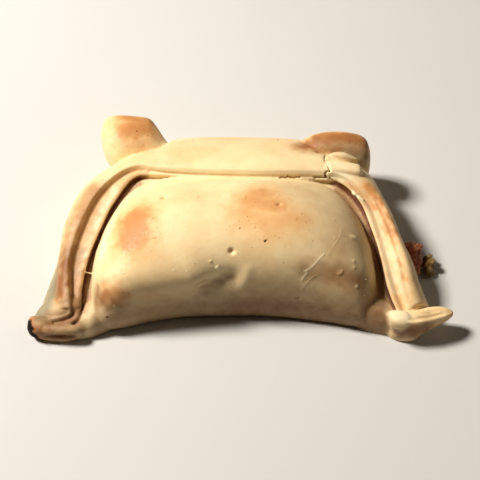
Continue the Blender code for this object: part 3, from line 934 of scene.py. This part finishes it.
@dataclass
class Filling:
    """A clump of leaked filling, as balls: x, y, z and radius."""

    name: str
    node: str
    balls: tuple[Row, ...]
    roughness: float
    seed: int
    voxel: float = 0.22

    def ball(self, x: float, y: float, z: float, radius: float) -> Object:
        """One ball's shape."""
        shape = bmesh.new()
        bmesh.ops.create_icosphere(shape, subdivisions=4, radius=radius)
        bmesh.ops.translate(shape, verts=shape.verts, vec=(x, y, z))
        return from_bmesh("ball", shape)

    def build(self, finish: "FillingFinish") -> Object:
        """Builds and dresses the clump.

        Args:
            finish: The clump's finish.

        Returns:
            The clump, standing for its solid.
        """
        obj = fuse(self.name, [self.ball(*row) for row in self.balls], self.voxel, 2)
        points, normals = mesh_points(obj.data), mesh_normals(obj.data)
        rise = ripple(points, 3.2, self.seed) + 0.6 * ripple(points, 1.4, self.seed + 1)
        set_points(obj.data, points + normals * (self.roughness * rise - 0.2)[:, None])
        cut_at_floor(obj)
        to_row_frame(obj)
        obj.data.shade_smooth()
        obj.data.materials.append(finish.material())
        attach(obj, "root")
        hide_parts(self.node)
        return obj


class Nodes:
    """The nodes of a tree, added one after another."""

    def __init__(self, tree: bpy.types.NodeTree) -> None:
        """Starts on this tree."""
        self.tree = tree

    def put(self, socket: Socket, value: Any) -> None:
        """Links or sets an input."""
        if isinstance(value, Socket):
            self.tree.links.new(value, socket)
        elif isinstance(value, tuple) and len(value) == 3 and len(socket.default_value) == 4:
            socket.default_value = (*value, 1.0)
        else:
            socket.default_value = value

    def add(self, kind: str, inputs: dict[Any, Any], **settings: Any) -> bpy.types.Node:
        """Adds a node.

        Args:
            kind: The node's type.
            inputs: Values or sockets by input name or number.
            **settings: The node's properties.

        Returns:
            The node.
        """
        node = self.tree.nodes.new(kind)
        for key, value in settings.items():
            setattr(node, key, value)
        for key, value in inputs.items():
            self.put(node.inputs[key], value)
        return node


class Shader(Nodes):
    """A material's nodes."""

    def __init__(self, name: str) -> None:
        """Starts a material with a plain Principled shader."""
        self.material = bpy.data.materials.new(name)
        self.material.use_nodes = True
        super().__init__(self.material.node_tree)

    def dressed(self, inputs: dict[str, Any]) -> bpy.types.Material:
        """The material, with these inputs of its shader set."""
        for name, value in inputs.items():
            self.put(self.tree.nodes["Principled BSDF"].inputs[name], value)
        return self.material

    def place(self) -> Socket:
        """The surface's Object coordinates."""
        return self.add("ShaderNodeTexCoord", {}).outputs["Object"]

    def amount(self, name: str) -> Socket:
        """A mesh attribute's value."""
        return self.add("ShaderNodeAttribute", {}, attribute_name=name).outputs["Fac"]

    def noise(self, place: Any, scale: float, detail: float = 4.0, rough: float = 0.55) -> Socket:
        """A noise of this many cells a metre."""
        inputs = {"Vector": place, "Scale": scale, "Detail": detail, "Roughness": rough}
        return self.add("ShaderNodeTexNoise", inputs).outputs["Fac"]

    def maths(self, operation: str, a: Any, b: Any = 0.0, clamp: bool = False) -> Socket:
        """The result of a sum of two values."""
        return self.add("ShaderNodeMath", {0: a, 1: b}, operation=operation, use_clamp=clamp).outputs[0]

    def spread(self, value: Any, low: float, high: float, to_low: float = 0.0,
               to_high: float = 1.0) -> Socket:
        """The value smoothly brought from one range to another."""
        inputs = {"Value": value, "From Min": low, "From Max": high, "To Min": to_low, "To Max": to_high}
        return self.add("ShaderNodeMapRange", inputs, interpolation_type="SMOOTHSTEP").outputs["Result"]

    def mix(self, share: Any, a: Any, b: Any, blend: str = "MIX") -> Socket:
        """Two colours mixed."""
        node = self.add("ShaderNodeMix", {0: share}, data_type="RGBA", blend_type=blend)
        self.put(node.inputs[6], a)
        self.put(node.inputs[7], b)
        return node.outputs[2]

    def bump(self, height: Any, distance: float, strength: float, under: Any = None) -> Socket:
        """A bumped normal, over another one if given."""
        inputs = {"Height": height, "Distance": distance, "Strength": strength}
        if under is not None:
            inputs["Normal"] = under
        return self.add("ShaderNodeBump", inputs).outputs["Normal"]


def linear(red: int, green: int, blue: int) -> Colour:
    """A colour given as it looks on screen, 0 to 255, as the shaders take it."""
    shares = (channel / 255 for channel in (red, green, blue))
    return tuple(s / 12.92 if s <= 0.04045 else ((s + 0.055) / 1.055) ** 2.4 for s in shares)


@dataclass(frozen=True)
class CrustFinish:
    """Baked dough: cream where pale, golden to brown where the oven caught it, with painted shade and
    highlights from its tones.
    """

    name: str = "baked_crust"
    pale: Colour = linear(242, 219, 170)
    cream: Colour = linear(232, 201, 150)
    golden: Colour = linear(226, 168, 102)
    brown: Colour = linear(178, 106, 52)
    # The crevice's two colours, juice stain and painted shade together.
    stain_and_crevice_shade: Colour = linear(94, 46, 15)
    soak_and_crevice_shade: Colour = linear(164, 122, 84)
    # Char, also used as painted shade in pits and cracks.
    char_and_shade_colour: Colour = linear(22, 9, 4)
    cut: Colour = linear(216, 178, 128)
    # Painted shade on the left heel's outer side.
    grey: Colour = linear(152, 141, 112)
    # Painted shade, multiplied over the crust's colour.
    tanned: Colour = linear(142, 114, 96)
    # Flour, also used as painted highlight.
    floured: Colour = linear(252, 238, 200)
    roughness: float = 0.52
    specular: float = 0.3
    depth_share: float = 0.12
    depth: Colour = (0.004, 0.0022, 0.001)

    def material(self) -> bpy.types.Material:
        """The finish as a node material."""
        s = Shader(self.name)
        place = s.place()
        broad = s.noise(place, 38.0, 3.0)
        mottle = s.noise(place, 170.0, 6.0, 0.62)
        fine = s.noise(place, 900.0, 4.0, 0.6)
        freckle = s.noise(place, 620.0, 2.0, 0.5)
        colour = s.mix(s.spread(broad, 0.35, 0.7), self.pale, self.cream)
        colour = s.mix(s.spread(mottle, 0.45, 0.75, 0.0, 0.18), colour, self.golden)
        ledge = s.mix(s.spread(mottle, 0.4, 0.65, 0.0, 0.6), self.cut, self.golden)
        colour = s.mix(s.amount("cut"), colour, ledge)
        # Painted shade on the left heel's outer side.
        colour = s.mix(s.amount("grey"), colour, self.grey)
        about = s.maths("SUBTRACT", mottle, 0.5)
        uneven = s.maths("ADD", s.maths("MULTIPLY", about, 0.12), s.amount("browned"))
        browned = s.maths("MULTIPLY", s.spread(uneven, 0.0, 0.9), s.spread(s.amount("browned"), 0.0, 0.12))
        colour = s.mix(browned, colour, self.golden)
        colour = s.mix(s.spread(browned, 0.55, 1.3), colour, self.brown)
        spots = s.maths("MULTIPLY", s.spread(freckle, 0.62, 0.72), s.spread(browned, 0.1, 0.6, 0.04, 0.45))
        colour = s.mix(spots, colour, self.brown)
        # Painted shade on the low front, the pocket's right side, the left strap and the ear and foot fronts.
        tanned = s.maths("MULTIPLY", s.amount("tanned"), s.spread(mottle, 0.2, 0.8, 0.8, 1.0))
        colour = s.mix(tanned, colour, self.tanned, "MULTIPLY")
        # Flour on the bits and scratches, and painted highlights on shoulder, slab, knob and strap edges.
        colour = s.mix(s.amount("floured"), colour, self.floured)
        # The crevice: juice stain and painted shade, darker deeper in and darkest at the strap's wall.
        stained = s.maths("MULTIPLY", s.amount("stained"), s.spread(mottle, 0.25, 0.6, 0.75, 1.0))
        colour = s.mix(s.spread(stained, 0.05, 0.5), colour, self.soak_and_crevice_shade)
        colour = s.mix(s.spread(stained, 0.5, 0.95), colour, self.stain_and_crevice_shade)
        # Char at the left tip, and painted shade in the pricks, the foot's crack and under the curl.
        burnt = s.maths("ADD", s.amount("burnt"), s.maths("MULTIPLY", about, 0.5))
        burnt = s.spread(burnt, 0.15, 0.75)
        colour = s.mix(s.maths("MULTIPLY", burnt, 0.9), colour, self.brown)
        colour = s.mix(s.spread(burnt, 0.45, 0.95), colour, self.char_and_shade_colour)
        rough = s.spread(fine, 0.3, 0.7, self.roughness - 0.08, self.roughness + 0.1)
        pores = s.bump(fine, 0.0002, 0.3)
        return s.dressed({
            "Base Color": colour,
            "Roughness": s.maths("ADD", rough, s.maths("MULTIPLY", burnt, 0.35)),
            "Specular IOR Level": self.specular,
            "Subsurface Weight": self.depth_share,
            "Subsurface Radius": self.depth,
            "Subsurface Scale": 1.0,
            "Normal": s.bump(mottle, 0.0005, 0.14, pores),
        })


@dataclass(frozen=True)
class FillingFinish:
    """Cooked filling: a dark ground with lighter bits, a little greasy."""

    name: str
    ground: Colour
    light: Colour
    roughness: float

    def material(self) -> bpy.types.Material:
        """The finish as a node material."""
        s = Shader(self.name)
        place = s.place()
        bits = s.noise(place, 420.0, 5.0, 0.65)
        grain = s.noise(place, 1500.0, 3.0, 0.6)
        return s.dressed({
            "Base Color": s.mix(s.spread(bits, 0.42, 0.68), self.ground, self.light),
            "Roughness": s.spread(grain, 0.3, 0.7, self.roughness - 0.1, self.roughness + 0.15),
            "Normal": s.bump(grain, 0.0003, 0.6, s.bump(bits, 0.001, 0.5)),
        })


@dataclass(frozen=True)
class PlainFinish:
    """One colour with a faint unevenness, for specks and the floor."""

    name: str
    colour: Colour
    darker: Colour
    scale: float
    roughness: float

    def material(self) -> bpy.types.Material:
        """The finish as a node material."""
        s = Shader(self.name)
        uneven = s.noise(s.place(), self.scale, 3.0)
        colour = s.mix(s.spread(uneven, 0.35, 0.7), self.colour, self.darker)
        return s.dressed({"Base Color": colour, "Roughness": self.roughness})


class Cover(Enum):
    """What is scattered on the crust; the value names its density attribute."""

    FLOUR = "flour_cover"
    SPECKS = "speck_cover"


@dataclass
class Scatter:
    """Small flakes lying on the crust, placed by a node tree."""

    name: str
    cover: Cover
    density: float
    size: float
    flatness: float
    seed: int
    least: float = 0.45
    most: float = 1.4

    def flake(self) -> Object:
        """One flake, a flattened many-sided crumb."""
        shape = bmesh.new()
        bmesh.ops.create_icosphere(shape, subdivisions=1, radius=1.0)
        bmesh.ops.scale(shape, verts=shape.verts, vec=(1.0, 0.62, self.flatness))
        return from_bmesh(self.name + "_flake", shape)

    def tree(self, flake: Object, material: bpy.types.Material) -> bpy.types.NodeTree:
        """The node tree that scatters the flake over the surface.

        Args:
            flake: The flake to repeat.
            material: The flakes' material.

        Returns:
            The tree, with its density, size and seed as inputs.
        """
        tree = bpy.data.node_groups.new(self.name, "GeometryNodeTree")
        inputs = {"Geometry": "Geometry", "Density": "Float", "Size": "Float", "Seed": "Int"}
        for name, kind in inputs.items():
            tree.interface.new_socket(name, in_out="INPUT", socket_type="NodeSocket" + kind)
        tree.interface.new_socket("Geometry", in_out="OUTPUT", socket_type="NodeSocketGeometry")
        add = Nodes(tree).add
        given = add("NodeGroupInput", {}).outputs
        cover = add("GeometryNodeInputNamedAttribute", {"Name": self.cover.value}, data_type="FLOAT")
        shares = {0: cover.outputs["Attribute"], 1: given["Density"]}
        dense = add("ShaderNodeMath", shares, operation="MULTIPLY").outputs[0]
        surface = {"Mesh": given["Geometry"], "Density": dense, "Seed": given["Seed"]}
        points = add("GeometryNodeDistributePointsOnFaces", surface).outputs
        spin = add("FunctionNodeRandomValue", {3: 2 * math.pi}, data_type="FLOAT").outputs[1]
        turn = add("ShaderNodeCombineXYZ", {"Z": spin}).outputs[0]
        turns = {"Rotation": points["Rotation"], "Rotate By": turn}
        lie = add("FunctionNodeRotateRotation", turns, rotation_space="LOCAL").outputs["Rotation"]
        vary = add("FunctionNodeRandomValue", {2: self.least, 3: self.most}, data_type="FLOAT").outputs[1]
        grow = add("ShaderNodeMath", {0: vary, 1: given["Size"]}, operation="MULTIPLY").outputs[0]
        thing = add("GeometryNodeObjectInfo", {"Object": flake}).outputs["Geometry"]
        spots = {"Points": points["Points"], "Instance": thing, "Rotation": lie, "Scale": grow}
        laid = add("GeometryNodeInstanceOnPoints", spots).outputs["Instances"]
        real = add("GeometryNodeRealizeInstances", {"Geometry": laid}).outputs["Geometry"]
        dress = add("GeometryNodeSetMaterial", {"Geometry": real, "Material": material}).outputs["Geometry"]
        add("NodeGroupOutput", {"Geometry": dress})
        return tree

    def build(self, crust: Object, finish: PlainFinish) -> Object:
        """Scatters the flakes over the crust.

        Args:
            crust: The crust with its density attributes.
            finish: The flakes' finish.

        Returns:
            The flakes as one plain mesh.
        """
        material = finish.material()
        flake = self.flake()
        carrier = new_object(self.name, crust.data.copy())
        nodes = carrier.modifiers.new("scatter", "NODES")
        nodes.node_group = self.tree(flake, material)
        items = nodes.node_group.interface.items_tree
        sockets = {item.name: item.identifier for item in items if item.in_out == "INPUT"}
        nodes[sockets["Density"]] = self.density
        nodes[sockets["Size"]] = self.size * MM
        nodes[sockets["Seed"]] = self.seed
        rebaked(carrier)
        bpy.data.objects.remove(flake)
        carrier.data.shade_smooth()
        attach(carrier, "root")
        return carrier


def lay_covers(crust: Object) -> None:
    """Writes where flour and specks lie on the crust."""
    points = mesh_points(crust.data) / MM + MIDDLE
    normals = mesh_normals(crust.data)
    up = np.clip((normals[:, 2] - 0.05) / 0.5, 0, 1)
    front = np.exp(-(((points[:, 1] + 27) / 7) ** 2))
    corner = np.exp(-(((points[:, 0] - 42) / 12) ** 2 + ((points[:, 1] + 24) / 8) ** 2))
    cloudy = np.clip(ripple(points, 14.0, 21) + 0.2, 0, 1)
    covers = {Cover.FLOUR: up * (0.25 * front + corner) * cloudy, Cover.SPECKS: up * (0.3 + 0.7 * cloudy)}
    for cover, amount in covers.items():
        layer = crust.data.attributes.new(cover.value, "FLOAT", "POINT")
        layer.data.foreach_set("value", amount.astype(np.float32))


@dataclass
class Studio:
    """The floor, the light and the camera at the photograph's angle."""

    elevation: float = 52.0
    distance: float = 0.480
    lens: float = 79.2
    target: tuple[float, float, float] = (0.0, 0.0, 15.0)
    key_way: tuple[float, float, float] = (-0.62, 0.16, 0.77)
    key_away: float = 1.2
    key_power: float = 24.0
    key_size: float = 0.24
    key_colour: Colour = (1.0, 0.94, 0.86)
    fill_way: tuple[float, float, float] = (0.75, 0.25, 0.62)
    fill_away: float = 1.4
    fill_power: float = 2.0
    fill_size: float = 1.0
    fill_colour: Colour = (1.0, 0.86, 0.70)
    sky: float = 0.018
    sky_colour: Row = (1.0, 0.88, 0.74, 1.0)
    floor_half: float = 3.0

    def floor(self) -> None:
        """A wide pale floor."""
        shape = bmesh.new()
        bmesh.ops.create_grid(shape, x_segments=2, y_segments=2, size=self.floor_half)
        ground = from_bmesh("floor", shape)
        finish = PlainFinish("pale_floor", linear(208, 207, 204), linear(205, 204, 201), 4.0, 0.85)
        ground.data.materials.append(finish.material())

    def lamp(self, name: str, way: Colour, away: float, power: float, size: float, colour: Colour) -> None:
        """A square soft light that faces the empanada.

        Args:
            name: The light's name.
            way: The direction from the empanada to the light.
            away: Its distance, in metres.
            power: Its power, in watts.
            size: Its side, in metres.
            colour: Its colour.
        """
        data = bpy.data.lights.new(name, "AREA")
        data.energy, data.size, data.color = power, size, colour
        lamp = new_object(name, data)
        back = Vector(way).normalized()
        lamp.location = back * away
        lamp.rotation_euler = back.to_track_quat("Z", "Y").to_euler()

    def camera(self) -> None:
        """The camera, above and in front."""
        data = bpy.data.cameras.new("camera")
        data.lens, data.sensor_width = self.lens, 36.0
        data.clip_start, data.clip_end = 0.01, 20.0
        camera = new_object("camera", data)
        rise = math.radians(self.elevation)
        back = Vector((0, -math.cos(rise), math.sin(rise)))
        camera.location = Vector((np.array(self.target) - MIDDLE) * MM) + back * self.distance
        camera.rotation_euler = back.to_track_quat("Z", "Y").to_euler()
        bpy.context.scene.camera = camera

    def build(self) -> None:
        """Sets up the floor, the lights, the sky and the camera."""
        self.floor()
        self.lamp("key", self.key_way, self.key_away, self.key_power, self.key_size, self.key_colour)
        self.lamp("fill", self.fill_way, self.fill_away, self.fill_power, self.fill_size, self.fill_colour)
        world = bpy.data.worlds.new("sky")
        world.use_nodes = True
        back = world.node_tree.nodes["Background"]
        back.inputs["Color"].default_value = self.sky_colour
        back.inputs["Strength"].default_value = self.sky
        bpy.context.scene.world = world
        bpy.context.scene.view_settings.view_transform = "Standard"
        self.camera()


def report(obj: Object) -> None:
    """Logs a piece's name and its number of triangles."""
    obj.data.calc_loop_triangles()
    LOG.info("%s: %d triangles", obj.name, len(obj.data.loop_triangles))


def main() -> None:
    """Builds the crust, what lies on it, the leaked filling and the studio."""
    logging.basicConfig(level=logging.INFO, format="%(name)s: %(message)s", force=True)
    crust = Pastry().build(CrustFinish())
    report(crust)
    lay_covers(crust)
    flour = Scatter("flour_flecks", Cover.FLOUR, 26_000.0, 0.35, 0.35, 4)
    report(flour.build(crust, PlainFinish("flour", linear(250, 238, 208), linear(240, 222, 184), 600.0, 0.8)))
    specks = Scatter("dark_specks", Cover.SPECKS, 9_000.0, 0.2, 0.3, 9)
    report(specks.build(crust, PlainFinish("speck", linear(120, 84, 44), linear(84, 52, 26), 900.0, 0.7)))
    beef = Filling("leaked_beef_clump", "leaked_beef", (
        (79.5, -8.5, 3.2, 3.4), (79.5, -4, 4.6, 4.3), (79.1, 1, 5.2, 4.6), (80, 4.2, 3, 3.2),
        (81.3, 0.6, 8.4, 2.4), (80, -1.2, 9.6, 2),
    ), 0.28, 31)
    # Both beef colours are painted lighter than cooked beef: painted light lifting the crust's shadow on the
    # clump.
    report(beef.build(FillingFinish("leaked_beef", linear(172, 92, 62), linear(212, 134, 94), 0.42)))
    crumb = Filling("leaked_crumb_clump", "leaked_crumb", (
        (86.9, -5.6, 2.6, 2.7), (87, -8.6, 2, 2.3), (86.8, -2.4, 2.4, 2.4), (87.8, -5.4, 5.2, 1.9),
        (87.4, -2, 4.8, 1.6),
    ), 0.22, 41)
    report(crumb.build(FillingFinish("leaked_crumb", linear(116, 88, 40), linear(158, 128, 66), 0.55)))
    Studio().build()


if __name__ == "__main__":
    main()
